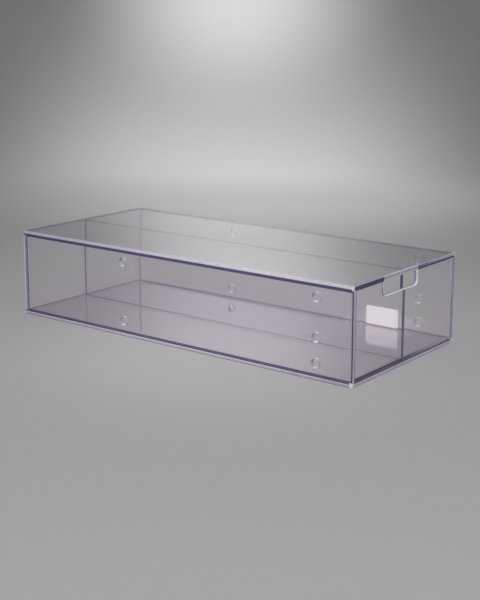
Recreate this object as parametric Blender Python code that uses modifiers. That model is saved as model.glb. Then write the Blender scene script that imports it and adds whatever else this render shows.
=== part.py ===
"""Lidded desk organizer: a long box of clear tinted sheet with two channels.

The box is bonded from flat plates. Two long walls stand on a base plate, an end wall
closes each end, and a divider splits the inside into two channels. Cable holes go
through both long walls, the right-hand end wall has a finger notch in its top edge,
and a flat lid lies loose on top.

Frame: metres, +Z up, +X towards the notched end, the front long wall on the -Y side.
The origin is on the floor, in the middle of the footprint.
"""

import math

import bmesh
import bpy

# Driving dimensions, in metres.
LENGTH = 0.6096            # outside, along X
WIDTH = 0.2667             # outside, along Y
HEIGHT = 0.13335           # outside, along Z, lid included
SHEET = 0.00635            # thickness of every plate
GAP = 0.0003               # clearance between two plates that touch
EDGE_CHAMFER = 0.0004      # broken edge left by sanding

# Cable holes, drilled through both long walls in the same places.
HOLE_RADIUS = 0.00635
HOLE_EDGE_MARGIN = 0.015875            # hole centre to the wall's top edge, or to the floor
MIDDLE_HOLE_ABOVE_FLOOR = 0.0508
LEFT_COLUMN_FROM_LEFT_END = 0.2111
RIGHT_COLUMN_FROM_RIGHT_END = 0.05715

# Finger notch in the right end wall's top edge.
NOTCH_WIDTH = 0.0889
NOTCH_DEPTH = 0.0210
NOTCH_CORNER_RADIUS = 0.00635
NOTCH_CENTRE_Y = -0.015875

# The divider's rear face lies on the box's centre plane.
DIVIDER_CENTRE_Y = -SHEET / 2

# Blank label on the inside of the rear wall.
LABEL_LENGTH = 0.0550
LABEL_HEIGHT = 0.0285
LABEL_THICKNESS = 0.0003
LABEL_CORNER_RADIUS = 0.0030
LABEL_CENTRE_FROM_RIGHT_END = 0.1160
LABEL_ABOVE_FLOOR = 0.0012

# Cutters reach this far past the faces they cut.
CUTTER_OVERRUN = 0.002
HOLE_SEGMENTS = 48
CORNER_STEPS = 8

# Levels that follow from the sizes above.
LEFT = -LENGTH / 2
RIGHT = LENGTH / 2
FRONT = -WIDTH / 2
REAR = WIDTH / 2
FLOOR = SHEET                          # top face of the base plate
RIM = HEIGHT - SHEET                   # underside of the lid
WALL_BOTTOM = FLOOR + GAP
WALL_TOP = RIM - GAP

TINTED_SHEET = (0.62, 0.56, 0.72, 1.0)
LABEL_WHITE = (0.90, 0.90, 0.90, 1.0)


def clear_scene():
    """Remove every object, so that a rerun starts from nothing."""
    for old in list(bpy.data.objects):
        bpy.data.objects.remove(old, do_unlink=True)


def new_collection(name):
    """Make a collection under the scene's own."""
    collection = bpy.data.collections.new(name)
    bpy.context.scene.collection.children.link(collection)
    return collection


def sheet_material(name):
    """Clear sheet with a light violet tint and polished faces."""
    material = bpy.data.materials.new(name)
    material.use_nodes = True
    shader = material.node_tree.nodes["Principled BSDF"]
    shader.inputs["Base Color"].default_value = TINTED_SHEET
    shader.inputs["Roughness"].default_value = 0.05
    shader.inputs["Metallic"].default_value = 0.0
    shader.inputs["IOR"].default_value = 1.53
    shader.inputs["Transmission Weight"].default_value = 0.9
    return material


def label_material(name):
    """Matt white film."""
    material = bpy.data.materials.new(name)
    material.use_nodes = True
    shader = material.node_tree.nodes["Principled BSDF"]
    shader.inputs["Base Color"].default_value = LABEL_WHITE
    shader.inputs["Roughness"].default_value = 0.55
    shader.inputs["Metallic"].default_value = 0.0
    return material


def add_object(name, mesh, collection, location=(0.0, 0.0, 0.0)):
    """Link a mesh into a collection as one named object."""
    item = bpy.data.objects.new(name, mesh)
    item.location = location
    collection.objects.link(item)
    return item


def box_mesh(name, size):
    """A box of the given size, centred on its own origin."""
    mesh = bpy.data.meshes.new(name)
    work = bmesh.new()
    bmesh.ops.create_cube(work, size=1.0)
    bmesh.ops.scale(work, vec=size, verts=work.verts)
    work.to_mesh(mesh)
    work.free()
    return mesh


def plate(name, low, high, collection):
    """A flat plate between two corners, with its own material."""
    size = [b - a for a, b in zip(low, high)]
    centre = [(a + b) / 2 for a, b in zip(low, high)]
    item = add_object(name, box_mesh(name, size), collection, centre)
    item.data.materials.append(sheet_material(name + "_sheet"))
    return item


def break_edges(item):
    """Chamfer the sharp edges, after any cut, as sanding leaves them."""
    bevel = item.modifiers.new("broken_edges", "BEVEL")
    bevel.width = EDGE_CHAMFER
    bevel.segments = 1
    bevel.limit_method = "ANGLE"
    bevel.angle_limit = math.radians(50)


def cut(item, cutter):
    """Take a cutter's shape out of a plate."""
    boolean = item.modifiers.new("cut_" + cutter.name, "BOOLEAN")
    boolean.operation = "DIFFERENCE"
    boolean.solver = "EXACT"
    boolean.object = cutter


def mark_as_cutter(item):
    """Cutters show as wire and never render."""
    item.hide_render = True
    item.display_type = "WIRE"


def hole_cutter(name, x, y, z, collection):
    """A drill of the cable hole's size, lying along Y."""
    mesh = bpy.data.meshes.new(name)
    work = bmesh.new()
    bmesh.ops.create_cone(
        work,
        cap_ends=True,
        segments=HOLE_SEGMENTS,
        radius1=HOLE_RADIUS,
        radius2=HOLE_RADIUS,
        depth=SHEET + 2 * CUTTER_OVERRUN,
    )
    work.to_mesh(mesh)
    work.free()
    item = add_object(name, mesh, collection, (x, y, z))
    item.rotation_euler = (math.pi / 2, 0.0, 0.0)
    mark_as_cutter(item)
    return item


def rounded_outline(width, height, radii):
    """Corner-rounded rectangle, centred, from its lower left corner anticlockwise.

    radii holds the corner radius at the lower left, lower right, upper right and
    upper left; a corner with no radius stays a single point.
    """
    signs = ((-1, -1), (1, -1), (1, 1), (-1, 1))
    points = []
    for corner, ((sx, sy), radius) in enumerate(zip(signs, radii)):
        x = sx * (width / 2 - radius)
        y = sy * (height / 2 - radius)
        steps = CORNER_STEPS if radius else 0
        start = math.pi + corner * math.pi / 2
        for step in range(steps + 1):
            angle = start + (step / steps if steps else 0) * math.pi / 2
            points.append((x + radius * math.cos(angle), y + radius * math.sin(angle)))
    return points


def flat_piece(name, outline, thickness, collection):
    """A flat outline in its own XY plane, extruded and turned into a welded mesh."""
    data = bpy.data.curves.new(name, "CURVE")
    data.dimensions = "2D"
    data.fill_mode = "BOTH"
    data.extrude = thickness / 2
    spline = data.splines.new("POLY")
    spline.points.add(len(outline) - 1)
    for point, (x, y) in zip(spline.points, outline):
        point.co = (x, y, 0.0, 1.0)
    spline.use_cyclic_u = True
    curve = bpy.data.objects.new(name + "_outline", data)
    collection.objects.link(curve)
    bpy.context.view_layer.update()
    evaluated = curve.evaluated_get(bpy.context.evaluated_depsgraph_get())
    mesh = bpy.data.meshes.new_from_object(evaluated)
    mesh.name = name
    bpy.data.objects.remove(curve, do_unlink=True)
    work = bmesh.new()
    work.from_mesh(mesh)
    bmesh.ops.remove_doubles(work, verts=work.verts, dist=0.00001)
    bmesh.ops.recalc_face_normals(work, faces=work.faces)
    work.to_mesh(mesh)
    work.free()
    return add_object(name, mesh, collection)


def hole_places():
    """Name, x and z of each cable hole in a long wall."""
    left_x = LEFT + LEFT_COLUMN_FROM_LEFT_END
    right_x = RIGHT - RIGHT_COLUMN_FROM_RIGHT_END
    upper = RIM - HOLE_EDGE_MARGIN
    lower = FLOOR + HOLE_EDGE_MARGIN
    middle = FLOOR + MIDDLE_HOLE_ABOVE_FLOOR
    return (
        ("left_upper", left_x, upper),
        ("left_lower", left_x, lower),
        ("right_upper", right_x, upper),
        ("right_middle", right_x, middle),
        ("right_lower", right_x, lower),
    )


def drill_cable_holes(wall, wall_y, cutters):
    """Drill the five cable holes through one long wall."""
    for place, x, z in hole_places():
        name = wall.name + "_" + place + "_drill"
        cut(wall, hole_cutter(name, x, wall_y, z, cutters))


def build_base_plate(parts):
    """The floor, full size, with every wall standing on it."""
    base = plate("base_plate", (LEFT, FRONT, 0.0), (RIGHT, REAR, FLOOR), parts)
    break_edges(base)


def build_long_walls(parts, cutters):
    """Front and rear wall, butted to the left end wall and running past the right one."""
    inner_end = LEFT + SHEET + GAP
    front_low = (inner_end, FRONT, WALL_BOTTOM)
    front_high = (RIGHT, FRONT + SHEET, WALL_TOP)
    front = plate("front_wall", front_low, front_high, parts)
    rear_low = (inner_end, REAR - SHEET, WALL_BOTTOM)
    rear_high = (RIGHT, REAR, WALL_TOP)
    rear = plate("rear_wall", rear_low, rear_high, parts)
    drill_cable_holes(front, FRONT + SHEET / 2, cutters)
    drill_cable_holes(rear, REAR - SHEET / 2, cutters)
    break_edges(front)
    break_edges(rear)


def build_left_end_wall(parts):
    """Full-width end wall that covers the long walls' ends."""
    low = (LEFT, FRONT, WALL_BOTTOM)
    high = (LEFT + SHEET, REAR, WALL_TOP)
    break_edges(plate("left_end_wall", low, high, parts))


def build_right_end_wall(parts, cutters):
    """End wall between the long walls, with the finger notch in its top edge."""
    low = (RIGHT - SHEET, FRONT + SHEET + GAP, WALL_BOTTOM)
    high = (RIGHT, REAR - SHEET - GAP, WALL_TOP)
    wall = plate("right_end_wall", low, high, parts)
    cutter_height = NOTCH_DEPTH + CUTTER_OVERRUN
    corner = NOTCH_CORNER_RADIUS
    outline = rounded_outline(NOTCH_WIDTH, cutter_height, (corner, corner, 0.0, 0.0))
    depth = SHEET + 2 * CUTTER_OVERRUN
    notch = flat_piece("finger_notch_cutter", outline, depth, cutters)
    notch_z = RIM - NOTCH_DEPTH + cutter_height / 2
    notch.location = (RIGHT - SHEET / 2, NOTCH_CENTRE_Y, notch_z)
    notch.rotation_euler = (math.pi / 2, 0.0, math.pi / 2)
    mark_as_cutter(notch)
    cut(wall, notch)
    break_edges(wall)


def build_divider(parts):
    """Full-length partition between the two end walls."""
    low = (LEFT + SHEET + GAP, DIVIDER_CENTRE_Y - SHEET / 2, WALL_BOTTOM)
    high = (RIGHT - SHEET - GAP, DIVIDER_CENTRE_Y + SHEET / 2, WALL_TOP)
    break_edges(plate("divider", low, high, parts))


def build_lid(parts):
    """Loose flat lid, the full size of the box, in a frame that lifts with it."""
    lift_frame = bpy.data.objects.new("lid_lift_frame", None)
    lift_frame.location = (0.0, 0.0, RIM)
    parts.objects.link(lift_frame)
    lid = plate("lid", (LEFT, FRONT, 0.0), (RIGHT, REAR, SHEET), parts)
    lid.parent = lift_frame
    break_edges(lid)


def build_label(parts):
    """Blank label stuck low on the inside of the rear wall."""
    radii = (LABEL_CORNER_RADIUS,) * 4
    outline = rounded_outline(LABEL_LENGTH, LABEL_HEIGHT, radii)
    label = flat_piece("label", outline, LABEL_THICKNESS, parts)
    x = RIGHT - LABEL_CENTRE_FROM_RIGHT_END
    y = REAR - SHEET - GAP - LABEL_THICKNESS / 2
    z = FLOOR + LABEL_ABOVE_FLOOR + LABEL_HEIGHT / 2
    label.location = (x, y, z)
    label.rotation_euler = (math.pi / 2, 0.0, 0.0)
    label.data.materials.clear()
    label.data.materials.append(label_material("label_film"))


def build():
    """Build the whole organizer."""
    clear_scene()
    parts = new_collection("desk_organizer")
    cutters = new_collection("cutters")
    build_base_plate(parts)
    build_long_walls(parts, cutters)
    build_left_end_wall(parts)
    build_right_end_wall(parts, cutters)
    build_divider(parts)
    build_lid(parts)
    build_label(parts)


build()
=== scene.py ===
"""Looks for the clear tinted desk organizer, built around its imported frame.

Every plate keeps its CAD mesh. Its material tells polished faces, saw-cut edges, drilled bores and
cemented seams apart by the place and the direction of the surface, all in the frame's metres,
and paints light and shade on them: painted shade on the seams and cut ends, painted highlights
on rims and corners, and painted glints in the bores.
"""

import math

import bmesh
import bpy
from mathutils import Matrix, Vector


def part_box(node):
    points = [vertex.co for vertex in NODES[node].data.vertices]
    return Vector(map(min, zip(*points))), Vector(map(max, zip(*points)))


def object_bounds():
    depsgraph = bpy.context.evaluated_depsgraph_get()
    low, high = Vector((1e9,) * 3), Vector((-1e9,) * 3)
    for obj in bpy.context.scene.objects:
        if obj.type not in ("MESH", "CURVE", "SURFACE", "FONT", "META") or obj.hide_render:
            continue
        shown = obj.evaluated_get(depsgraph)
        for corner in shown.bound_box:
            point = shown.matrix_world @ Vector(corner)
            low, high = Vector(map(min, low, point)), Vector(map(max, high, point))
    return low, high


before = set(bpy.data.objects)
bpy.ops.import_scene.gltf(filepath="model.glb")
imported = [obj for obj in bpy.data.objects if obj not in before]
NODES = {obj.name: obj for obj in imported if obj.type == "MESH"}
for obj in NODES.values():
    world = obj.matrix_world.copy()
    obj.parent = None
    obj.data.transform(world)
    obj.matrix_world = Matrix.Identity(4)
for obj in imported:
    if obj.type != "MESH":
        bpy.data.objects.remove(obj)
CAD_LOW, CAD_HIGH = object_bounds()

# Places of the plates, read from the frame.
LOW_X, LOW_Y, LOW_Z = CAD_LOW
HIGH_X, HIGH_Y, HIGH_Z = CAD_HIGH
WALL_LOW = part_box("front_wall")[0][2]
WALL_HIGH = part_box("front_wall")[1][2]
FRONT_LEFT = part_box("front_wall")[0][0]
BASE_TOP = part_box("base_plate")[1][2]
LID_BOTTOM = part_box("lid")[0][2]
LABEL_CENTRE = (Vector(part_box("label")[0]) + Vector(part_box("label")[1])) / 2

# Width of the painted highlight, a bright rim, on the right end wall's cut faces.
RIM_WIDTH = 0.0028
# Its joints to the long walls reach this far in from the outside of the box.
END_JOINT_REACH = 0.0085

# The notch in the right end wall, as part.py cuts it.
NOTCH_WIDTH = 0.0889
NOTCH_DEPTH = 0.0210
NOTCH_CENTRE_Y = -0.015875

# Optics of the sheet: index, and its tint as absorption per metre of path.
SHEET_IOR = 1.49
TINT_COLOUR = (0.68, 0.36, 0.86, 1.0)
TINT_DENSITY = 6.2
LAMP_TINT = (0.975, 0.96, 0.975, 1.0)

# Finishes on the sheet, and the light and shade painted on it: colour, roughness and how much light
# goes through (0 to 1).
SAWN = ((0.78, 0.73, 0.86), 0.38, 0.10)
# painted highlight: white for the lit rims of cut edges, round the notch and at the left corners
PAINTED_RIM_HIGHLIGHT = ((0.95, 0.94, 0.98), 0.30, 0.05)
# frosted bores, with painted shade on one side and a painted glint on the other
DRILLED_SHADE = ((0.78, 0.74, 0.85), 0.20, 0.40)
PAINTED_BORE_GLINT = ((0.96, 0.95, 0.99), 0.35, 0.10)
# painted shade: dark violet for light trapped in the sheet along each joint, and a painted shadow line
# along the base's bottom edge
PAINTED_SEAM_SHADE = ((0.100, 0.068, 0.200), 0.25, 0.0)
# painted shade: dark violet on cut ends seen through the sheet, fading along the right-hand edge
PAINTED_END_SHADE = ((0.085, 0.062, 0.150), 0.22, 0.0)
# painted shade, fainter: joint lines on the rear wall, the divider and the left end
FAINT_SEAM_SHADE = ((0.44, 0.38, 0.50), 0.15, 0.85)
# pale tone painted on exposed ends and joint faces, for light seen through them
PALE_END = ((0.66, 0.62, 0.74), 0.20, 0.70)
# painted light: a pale tone on the right-hand corners, where light seen through the joint shows
PAINTED_CORNER_LIGHT = ((0.74, 0.69, 0.82), 0.28, 0.25)
LID_WINDOW = ((0.52, 0.47, 0.62), 0.30, 0.10)
# painted shade on the divider's bare right end, seen through the end wall
DIVIDER_END_SHADE = ((0.20, 0.17, 0.27), 0.25, 0.35)
# painted highlight: white glints on the arrises and cut corners, and a bright stripe on the base rim
PAINTED_ARRIS_HIGHLIGHT = ((0.97, 0.96, 0.99), 0.22, 0.0)
# painted shade for the shaded parts of cut edges
SHADED = ((0.36, 0.33, 0.42), 0.35, 0.10)

# Reach of a painted seam from its line, and how softly it ends.
SEAM_WIDTH = 0.0017
SEAM_SOFTNESS = 0.0007
STRIPE_SOFTNESS = 0.0003

# A surface within this distance of a plane lies on it.
ON_PLANE = 0.0006
# Limits on a part of the surface direction: a cut face lies below the first, and a face
# towards an axis above the second.
CUT_FACE = 0.8
FACES_AXIS = 0.5

# Camera: lens and sensor in millimetres, place in metres, and the picture shifted in its height.
FOCAL_LENGTH = 70.76
SENSOR_WIDTH = 36.0
CAMERA_YAW = math.radians(37.97)
CAMERA_PITCH = math.radians(11.29)
CAMERA_PLACE = (1.0749, -1.3512, 0.4791)
CAMERA_SHIFT_Y = -0.10


class Shader:
    """A material's node tree, with short calls for sums and masks."""

    def __init__(self, name):
        self.material = bpy.data.materials.new(name)
        self.material.use_nodes = True
        self.tree = self.material.node_tree
        self.tree.nodes.clear()
        self.output = self.node("ShaderNodeOutputMaterial")
        self.surface = self.node("ShaderNodeBsdfPrincipled")
        self.place = self.node("ShaderNodeTexCoord")
        self.x, self.y, self.z = self.split(self.place.outputs["Object"])
        self.nx, self.ny, self.nz = self.split(self.place.outputs["Normal"])

    def node(self, kind, **values):
        made = self.tree.nodes.new(kind)
        made.location = (180 * (len(self.tree.nodes) % 12), -160 * (len(self.tree.nodes) // 12))
        for key, value in values.items():
            setattr(made, key, value)
        return made

    def feed(self, socket, value):
        """Link a socket, or set a plain value."""
        if isinstance(value, bpy.types.NodeSocket):
            self.tree.links.new(value, socket)
        else:
            socket.default_value = value

    def split(self, vector):
        """The three parts of a vector."""
        parts = self.node("ShaderNodeSeparateXYZ")
        self.tree.links.new(vector, parts.inputs[0])
        return parts.outputs

    def sum(self, operation, first, second=None):
        """One step of arithmetic, named by its Math node operation."""
        made = self.node("ShaderNodeMath", operation=operation)
        self.feed(made.inputs[0], first)
        if second is not None:
            self.feed(made.inputs[1], second)
        return made.outputs[0]

    def above(self, value, limit):
        """1 where the value is over the limit, and 0 elsewhere."""
        return self.sum("GREATER_THAN", value, limit)

    def below(self, value, limit):
        """1 where the value is under the limit, and 0 elsewhere."""
        return self.sum("LESS_THAN", value, limit)

    def size(self, value):
        return self.sum("ABSOLUTE", value)

    def both(self, *masks):
        """1 where every mask is 1."""
        result = masks[0]
        for mask in masks[1:]:
            result = self.sum("MULTIPLY", result, mask)
        return result

    def either(self, *masks):
        """1 where any mask is 1."""
        result = masks[0]
        for mask in masks[1:]:
            result = self.sum("MAXIMUM", result, mask)
        return result

    def ramp(self, value, low, high, result_low=0.0, result_high=1.0):
        """A smooth step from one result to the other."""
        made = self.node("ShaderNodeMapRange", interpolation_type="SMOOTHSTEP")
        for socket, number in zip(made.inputs, (value, low, high, result_low, result_high)):
            self.feed(socket, number)
        return made.outputs[0]

    def near(self, value, line, reach, softness=SEAM_SOFTNESS):
        """1 within reach of a line, falling softly to 0 outside it."""
        away = self.size(self.sum("SUBTRACT", value, line))
        return self.ramp(away, reach, reach + softness, 1.0, 0.0)

    def outside(self, mask):
        """1 where the mask is 0."""
        return self.sum("SUBTRACT", 1.0, mask)

    def noise(self, scale, stretch=(1, 1, 1), detail=3.0):
        """Soft noise fixed to the piece, from 0 to 1."""
        moved = self.node("ShaderNodeMapping")
        self.tree.links.new(self.place.outputs["Object"], moved.inputs["Vector"])
        moved.inputs["Scale"].default_value = stretch
        made = self.node("ShaderNodeTexNoise")
        self.tree.links.new(moved.outputs[0], made.inputs["Vector"])
        made.inputs["Scale"].default_value = scale
        made.inputs["Detail"].default_value = detail
        return made.outputs["Fac"]

    def blend(self, mask, first, second):
        """A number or a colour, from first where the mask is 0 to second where it is 1."""
        is_colour = isinstance(second, tuple)
        made = self.node("ShaderNodeMix", data_type="RGBA" if is_colour else "FLOAT")
        sockets = [socket for socket in made.inputs if socket.enabled]
        self.feed(sockets[0], mask)
        for socket, value in zip(sockets[1:], (first, second)):
            if isinstance(value, tuple):
                value = (*value, 1.0)
            self.feed(socket, value)
        return [socket for socket in made.outputs if socket.enabled][0]


def sheet_material(name, axis, dress):
    """Tinted sheet. dress(shader) lists the finish and the painted light and shade of each part as
    pairs of a mask and a look.
    """
    shader = Shader(name)
    surface = shader.surface
    # handling leaves faint smudges and fine hairlines in the polish
    smudge = shader.ramp(shader.noise(9.0, detail=5.0), 0.52, 0.80, 0.0, 0.035)
    stretch = [14.0, 14.0, 14.0]
    stretch[0 if axis != 0 else 1] = 1.0
    hairline = shader.ramp(shader.noise(46.0, stretch, detail=1.0), 0.74, 0.78, 0.0, 0.09)
    colour = (1.0, 1.0, 1.0)
    roughness = shader.sum("ADD", smudge, hairline)
    clearness = 1.0
    for mask, (finish_and_light_colour, finish_and_light_roughness, finish_and_light_clearness) in dress(shader):
        colour = shader.blend(mask, colour, finish_and_light_colour)
        roughness = shader.blend(mask, roughness, finish_and_light_roughness)
        clearness = shader.blend(mask, clearness, finish_and_light_clearness)
    # saw and cement leave fine lines along a cut edge, and nothing on a polished face
    across = (shader.nx, shader.ny, shader.nz)[axis]
    cut = shader.below(shader.size(across), CUT_FACE)
    lines = shader.noise(210.0, (1.0, 1.0, 0.12), detail=2.0)
    bump = shader.node("ShaderNodeBump")
    bump.inputs["Distance"].default_value = 0.0004
    shader.feed(bump.inputs["Strength"], shader.both(cut, 0.35))
    shader.feed(bump.inputs["Height"], lines)
    mottle = shader.ramp(shader.noise(85.0, detail=4.0), 0.25, 0.75, 0.88, 1.0)
    tone = shader.node("ShaderNodeMix", data_type="RGBA", blend_type="MULTIPLY")
    tone_mask, tone_first, tone_second = [socket for socket in tone.inputs if socket.enabled]
    grey = shader.node("ShaderNodeCombineColor")
    for socket in grey.inputs:
        shader.feed(socket, mottle)
    shader.feed(tone_mask, cut)
    shader.feed(tone_first, colour)
    shader.feed(tone_second, grey.outputs[0])
    toned = [socket for socket in tone.outputs if socket.enabled][0]
    shader.feed(surface.inputs["Base Color"], toned)
    shader.feed(surface.inputs["Roughness"], roughness)
    shader.feed(surface.inputs["Transmission Weight"], clearness)
    shader.feed(surface.inputs["Normal"], bump.outputs[0])
    surface.inputs["IOR"].default_value = SHEET_IOR
    # lamps and soft daylight pass straight through the sheet, a little dimmed
    path = shader.node("ShaderNodeLightPath")
    passing = shader.either(path.outputs["Is Shadow Ray"], path.outputs["Is Diffuse Ray"])
    clear = shader.node("ShaderNodeBsdfTransparent")
    clear.inputs["Color"].default_value = LAMP_TINT
    lamps = shader.node("ShaderNodeMixShader")
    shader.feed(lamps.inputs[0], passing)
    shader.feed(lamps.inputs[1], surface.outputs[0])
    shader.feed(lamps.inputs[2], clear.outputs[0])
    shader.feed(shader.output.inputs["Surface"], lamps.outputs[0])
    tint = shader.node("ShaderNodeVolumeAbsorption")
    tint.inputs["Color"].default_value = TINT_COLOUR
    tint.inputs["Density"].default_value = TINT_DENSITY
    shader.feed(shader.output.inputs["Volume"], tint.outputs[0])
    return shader.material


def cut_edge(shader, across):
    """The cut faces of a plate whose thickness runs along the given direction."""
    return shader.below(shader.size(across), CUT_FACE)


def in_notch(shader):
    """The stretch of the right-hand edge that lies over the finger notch."""
    away = shader.size(shader.sum("SUBTRACT", shader.y, NOTCH_CENTRE_Y))
    return shader.below(away, NOTCH_WIDTH / 2)


def fading(shader):
    """1 at the near end of the right-hand edge, falling along it: the strength of the painted end
    shade.
    """
    return shader.ramp(shader.y, NOTCH_CENTRE_Y, HIGH_Y, 1.0, 0.25)


def near_corners(shader, reach=0.0022):
    """Both ends of the right-hand edge, where a highlight is painted on the cut corners."""
    ends = shader.near(shader.size(shader.y), HIGH_Y, reach)
    return shader.both(ends, shader.near(shader.x, HIGH_X, reach))


def dress_lid(shader):
    """Saw-cut rim with painted highlights, painted dark seam shade under it and painted shade over the
    wall, open along the notch.
    """
    edge = cut_edge(shader, shader.nz)
    right = shader.both(edge, shader.above(shader.x, HIGH_X - ON_PLANE))
    open_notch = in_notch(shader)
    over_wall = shader.both(right, shader.outside(open_notch))
    front = shader.below(shader.ny, -FACES_AXIS)
    # the painted highlight on the front edge grows stronger towards the right
    painted_highlight_ramp = shader.ramp(shader.x, LOW_X, HIGH_X, 0.0, 0.6)
    below_rim = shader.below(shader.z, HIGH_Z - 0.0009)
    # painted highlights on the top and bottom rims of the lid's edge over the notch
    rims = shader.either(
        shader.near(shader.z, HIGH_Z, 0.0006), shader.near(shader.z, LID_BOTTOM, 0.0006))
    return [
        (edge, SAWN),
        (shader.both(edge, front, painted_highlight_ramp), PAINTED_ARRIS_HIGHLIGHT),
        (shader.both(edge, shader.near(shader.z, LID_BOTTOM, SEAM_WIDTH)), PAINTED_SEAM_SHADE),
        (shader.both(right, open_notch), LID_WINDOW),
        (shader.both(right, open_notch, rims), PAINTED_RIM_HIGHLIGHT),
        (shader.both(over_wall, fading(shader), below_rim), PAINTED_END_SHADE),
        (shader.both(edge, near_corners(shader)), PAINTED_ARRIS_HIGHLIGHT),
    ]


def dress_base(shader):
    """Saw-cut rim with painted stripes of light and shade, a painted shadow line along its bottom
    edge, and a painted dark seam line under the walls.
    """
    edge = cut_edge(shader, shader.nz)
    # painted stripes along the rim: a highlight, a shade line, and a shadow line along the bottom edge
    light_stripe = shader.near(shader.z, LOW_Z + 0.0038, 0.0006, STRIPE_SOFTNESS)
    shade_stripe = shader.near(shader.z, LOW_Z + 0.0024, 0.0003, STRIPE_SOFTNESS)
    foot_stripe = shader.near(shader.z, LOW_Z, 0.0007, STRIPE_SOFTNESS)
    return [
        (edge, SAWN),
        (shader.both(edge, light_stripe), PAINTED_ARRIS_HIGHLIGHT),
        (shader.both(edge, shade_stripe), SHADED),
        (shader.both(edge, foot_stripe), PAINTED_SEAM_SHADE),
        (shader.both(edge, shader.near(shader.z, BASE_TOP, SEAM_WIDTH)), PAINTED_SEAM_SHADE),
        (shader.both(edge, near_corners(shader, 0.0040)), PAINTED_ARRIS_HIGHLIGHT),
    ]


def dress_long_wall(shader):
    """Painted dark seams round the outer face, painted light and shade on the right end and painted
    glints in the bores.
    """
    level = shader.above(shader.size(shader.nz), FACES_AXIS)
    left_end = shader.below(shader.nx, -FACES_AXIS)
    right_end = shader.above(shader.nx, FACES_AXIS)
    edge = cut_edge(shader, shader.ny)
    inland = shader.both(
        shader.above(shader.z, WALL_LOW + 0.001), shader.below(shader.z, WALL_HIGH - 0.001),
        shader.above(shader.x, FRONT_LEFT + 0.001), shader.below(shader.x, HIGH_X - 0.001))
    outside = shader.above(shader.size(shader.y), HIGH_Y - ON_PLANE)
    seams = shader.either(
        shader.near(shader.z, WALL_HIGH, SEAM_WIDTH), shader.near(shader.z, WALL_LOW, SEAM_WIDTH),
        shader.near(shader.x, FRONT_LEFT, 0.0015), shader.near(shader.x, HIGH_X, 0.0012))
    front = shader.below(shader.y, 0.0)
    rear = shader.above(shader.y, 0.0)
    face_seams = shader.both(outside, seams, shader.outside(right_end))
    # the exposed right end, painted with light and shade: a dark corner line, a bright line, then a
    # paler rest
    depth = shader.sum("SUBTRACT", HIGH_Y, shader.size(shader.y))
    corner_line = shader.both(right_end, front, shader.below(depth, 0.0010))
    bright_line = shader.both(right_end, shader.near(depth, 0.0030, 0.0006))
    # painted glint: a bore is painted brighter on the side where light would catch it
    lit_side = shader.ramp(
        shader.sum("SUBTRACT", shader.both(shader.nz, 0.6), shader.nx), -0.35, 0.55)
    bore = shader.both(edge, inland)
    return [
        # painted shade on the joint faces: dark on the front wall, faint on the rear one
        (shader.both(rear, shader.either(level, left_end)), FAINT_SEAM_SHADE),
        (shader.both(front, shader.either(level, left_end)), PAINTED_SEAM_SHADE),
        (right_end, PALE_END),
        (shader.both(right_end, front), PAINTED_CORNER_LIGHT),
        (bright_line, SAWN),
        (corner_line, PAINTED_SEAM_SHADE),
        (shader.both(front, face_seams), PAINTED_SEAM_SHADE),
        (shader.both(rear, face_seams), FAINT_SEAM_SHADE),
        (bore, DRILLED_SHADE),
        (shader.both(bore, lit_side), PAINTED_BORE_GLINT),
    ]


def dress_left_end(shader):
    """Its upright ends show at the corners: a painted highlight outside, painted shade inside."""
    level = shader.above(shader.size(shader.nz), FACES_AXIS)
    upright = shader.above(shader.size(shader.ny), FACES_AXIS)
    inner = shader.ramp(shader.x, LOW_X + 0.0015, LOW_X + 0.0035)
    return [
        (level, FAINT_SEAM_SHADE),
        (upright, PAINTED_RIM_HIGHLIGHT),
        (shader.both(upright, inner), SHADED),
    ]


def dress_right_end(shader):
    """Painted shade on the violet joints and the dark line along the bottom, and a painted highlight
    on the rim round the notch.
    """
    level = shader.above(shader.size(shader.nz), FACES_AXIS)
    upright = shader.above(shader.size(shader.ny), FACES_AXIS)
    edge = cut_edge(shader, shader.nx)
    low_joint = shader.below(shader.z, WALL_LOW + 0.001)
    top_joint = shader.above(shader.z, WALL_HIGH - ON_PLANE)
    ends = shader.above(shader.size(shader.y), HIGH_Y - END_JOINT_REACH)
    joint = shader.either(low_joint, top_joint, ends)
    outside = shader.above(shader.x, HIGH_X - ON_PLANE)
    foot = shader.both(outside, shader.near(shader.z, WALL_LOW, 0.0042), fading(shader))
    cut = shader.both(edge, shader.either(level, upright))
    # the outer part of each cut face gets a painted highlight, the rest painted shade
    rim = shader.above(shader.x, HIGH_X - RIM_WIDTH)
    painted_corner_light = shader.both(upright, shader.outside(rim), ends)
    return [
        (cut, SHADED),
        (shader.both(cut, rim), PAINTED_RIM_HIGHLIGHT),
        (shader.both(edge, joint), PAINTED_SEAM_SHADE),
        (shader.both(edge, ends), PALE_END),
        (painted_corner_light, PAINTED_CORNER_LIGHT),
        (foot, PAINTED_END_SHADE),
    ]


def dress_divider(shader):
    """Faint painted shade on the joints, and painted shade on the bare end, darkest where the notch
    shows it.
    """
    cut = cut_edge(shader, shader.ny)
    right_end = shader.above(shader.nx, FACES_AXIS)
    in_window = shader.above(shader.z, WALL_HIGH - NOTCH_DEPTH)
    return [
        (cut, FAINT_SEAM_SHADE),
        (right_end, DIVIDER_END_SHADE),
        (shader.both(right_end, in_window), PAINTED_END_SHADE),
    ]


# Each sheet node, with the axis through its thickness and the masks for its finish and its painted
# light and shade.
SHEETS = {
    "base_plate": (2, dress_base),
    "lid": (2, dress_lid),
    "front_wall": (1, dress_long_wall),
    "rear_wall": (1, dress_long_wall),
    "divider": (1, dress_divider),
    "left_end_wall": (0, dress_left_end),
    "right_end_wall": (0, dress_right_end),
}


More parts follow.
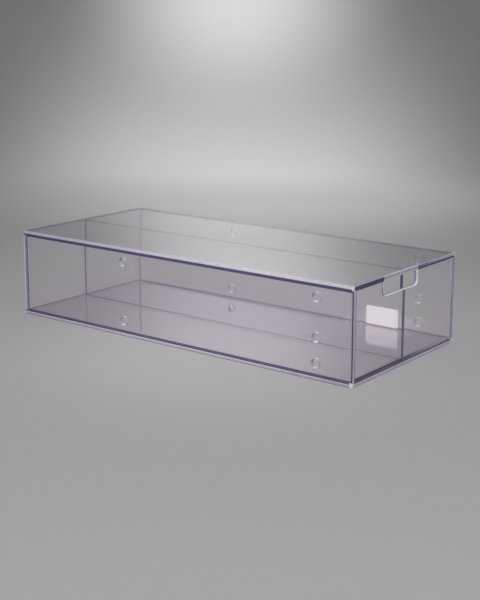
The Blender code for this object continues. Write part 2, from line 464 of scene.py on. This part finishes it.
def plain_material(name, colour, roughness, grain, grain_scale):
    """An opaque finish with a fine grain in its tone and its surface."""
    shader = Shader(name)
    dark = tuple(channel * (1.0 - grain) for channel in colour)
    speckle = shader.noise(grain_scale, detail=6.0)
    tone = shader.blend(shader.ramp(speckle, 0.3, 0.7), dark, colour)
    shader.feed(shader.surface.inputs["Base Color"], tone)
    shader.surface.inputs["Roughness"].default_value = roughness
    bump = shader.node("ShaderNodeBump")
    bump.inputs["Distance"].default_value = 0.0002
    bump.inputs["Strength"].default_value = 0.2
    shader.feed(bump.inputs["Height"], speckle)
    shader.feed(shader.surface.inputs["Normal"], bump.outputs[0])
    shader.feed(shader.output.inputs["Surface"], shader.surface.outputs[0])
    return shader.material


def dress(name, material):
    """Give a CAD node its material, and change nothing else."""
    NODES[name].data.materials.clear()
    NODES[name].data.materials.append(material)


for name, (axis, finishes_and_light) in SHEETS.items():
    dress(name, sheet_material(name + "_sheet", axis, finishes_and_light))
dress("label", plain_material("label_film", (0.94, 0.97, 0.90), 0.42, 0.03, 900.0))


def bowl(name, radius, bend, height, colour, segments=96, steps=16):
    """A round floor that sweeps up into a wall, with a finish like matt paper."""
    profile = [(0.0, 0.0), (radius - bend, 0.0)]
    for step in range(1, steps + 1):
        turn = step / steps * math.pi / 2
        profile.append((radius - bend + bend * math.sin(turn), bend - bend * math.cos(turn)))
    profile.append((radius, height))
    mesh = bpy.data.meshes.new(name)
    work = bmesh.new()
    corners = [work.verts.new((reach, 0.0, rise)) for reach, rise in profile]
    sides = [work.edges.new(pair) for pair in zip(corners, corners[1:])]
    bmesh.ops.spin(
        work, geom=corners + sides, cent=(0, 0, 0), axis=(0, 0, 1), angle=2 * math.pi, steps=segments)
    bmesh.ops.remove_doubles(work, verts=work.verts, dist=1e-5)
    bmesh.ops.recalc_face_normals(work, faces=work.faces)
    work.to_mesh(mesh)
    work.free()
    mesh.shade_smooth()
    item = bpy.data.objects.new(name, mesh)
    bpy.context.scene.collection.objects.link(item)
    item.data.materials.append(plain_material(name + "_paper", colour, 0.9, 0.02, 120.0))
    return item


def aim(item, place, target):
    """Put a lamp in the scene, pointing at its target."""
    item.location = place
    item.rotation_euler = (Vector(target) - Vector(place)).to_track_quat("-Z", "Y").to_euler()
    bpy.context.scene.collection.objects.link(item)


def hide_from_sheet(item):
    """Keep a lamp out of what the polished sheet mirrors and lets through."""
    item.visible_glossy = False
    item.visible_transmission = False


def softbox(name, place, target, size, power, spread):
    """A rectangular lamp. Its size is in metres, its power in watts and its spread in degrees."""
    data = bpy.data.lights.new(name, "AREA")
    data.shape = "RECTANGLE"
    data.size, data.size_y = size
    data.spread = math.radians(spread)
    data.energy = power
    item = bpy.data.objects.new(name, data)
    hide_from_sheet(item)
    aim(item, place, target)


def spot(name, place, target, angle, power, radius):
    """A soft-edged spot lamp. Its angle is in degrees, its power in watts and its radius in metres."""
    data = bpy.data.lights.new(name, "SPOT")
    data.spot_size = math.radians(angle)
    data.spot_blend = 1.0
    data.energy = power
    data.shadow_soft_size = radius
    item = bpy.data.objects.new(name, data)
    hide_from_sheet(item)
    aim(item, place, target)


# The camera's directions over the floor, for lights that stand beside the view.
SIDEWAYS = Vector((math.cos(CAMERA_YAW), math.sin(CAMERA_YAW), 0.0))
AWAY = Vector((-math.sin(CAMERA_YAW), math.cos(CAMERA_YAW), 0.0))
UP = Vector((0.0, 0.0, 1.0))

FLOOR_DROP = 0.0003            # the floor lies this far under the box, so the two never coincide
CEILING = 1.8                  # height of the lamps over the backdrop
GLOW_RADIUS = 0.2
SIDE_SIZE = (0.6, 0.6)
SIDE_POWER = 0.24
BOX_MIDDLE = (0, 0, 0.05)

bowl("studio_floor", 2.3, 0.6, 2.2, (0.50, 0.50, 0.492)).location = (0, 0, -FLOOR_DROP)

softbox("top_softbox", AWAY * -1.2 + UP * 1.5, AWAY * -1.0, (1.6, 0.8), 6.0, 120)
softbox("front_softbox", AWAY * -1.6 + UP * 1.5, BOX_MIDDLE, (0.25, 0.2), 0.27, 20)
left_place = SIDEWAYS * -1.5 + AWAY * -0.4 + UP * 0.9
right_place = SIDEWAYS * 1.5 + AWAY * -0.2 + UP * 0.9
softbox("left_softbox", left_place, BOX_MIDDLE, SIDE_SIZE, SIDE_POWER, 40)
softbox("right_softbox", right_place, BOX_MIDDLE, SIDE_SIZE, SIDE_POWER, 40)

# A row of spots lights the floor behind the box: distance from it, angle and power.
GLOWS = ((0.5, 38, 25), (1.3, 54, 54), (1.9, 54, 66))
for index, (reach, angle, power) in enumerate(GLOWS):
    glow_name = "glow_" + str(index + 1)
    glow_target = AWAY * (reach + 0.15)
    spot(glow_name, AWAY * reach + UP * CEILING, glow_target, angle, power, GLOW_RADIUS)
near_place = AWAY * 1.1 + SIDEWAYS * 0.15 + UP * CEILING
spot("near_glow", near_place, AWAY * 1.2 + SIDEWAYS * 0.18, 42, 29, GLOW_RADIUS)

# The lid mirrors the backdrop high on its wall, so this spot makes the lid pale.
spot("wall_glow", AWAY * 0.9 + UP * 1.7, AWAY * 2.3 + UP * 0.75, 33, 150, GLOW_RADIUS)
spot("label_key", AWAY * -1.6 + UP * 1.5, LABEL_CENTRE, 3.4, 140, 0.02)

world = bpy.data.worlds.new("studio")
bpy.context.scene.world = world
world.use_nodes = True
background = world.node_tree.nodes["Background"]
background.inputs["Color"].default_value = (0.96, 0.97, 1.0, 1)
background.inputs["Strength"].default_value = 0.54

camera_data = bpy.data.cameras.new("camera")
camera_data.lens = FOCAL_LENGTH
camera_data.sensor_width = SENSOR_WIDTH
camera_data.shift_y = CAMERA_SHIFT_Y
camera = bpy.data.objects.new("camera", camera_data)
camera.location = CAMERA_PLACE
camera.rotation_euler = (math.pi / 2 - CAMERA_PITCH, 0, CAMERA_YAW)
bpy.context.scene.collection.objects.link(camera)
bpy.context.scene.camera = camera

# Light crosses many polished faces on its way through the box.
BOUNCES = 48
scene = bpy.context.scene
scene.view_settings.view_transform = "Standard"
scene.cycles.max_bounces = BOUNCES
scene.cycles.transmission_bounces = BOUNCES
scene.cycles.transparent_max_bounces = BOUNCES
scene.cycles.caustics_reflective = False
scene.cycles.caustics_refractive = False
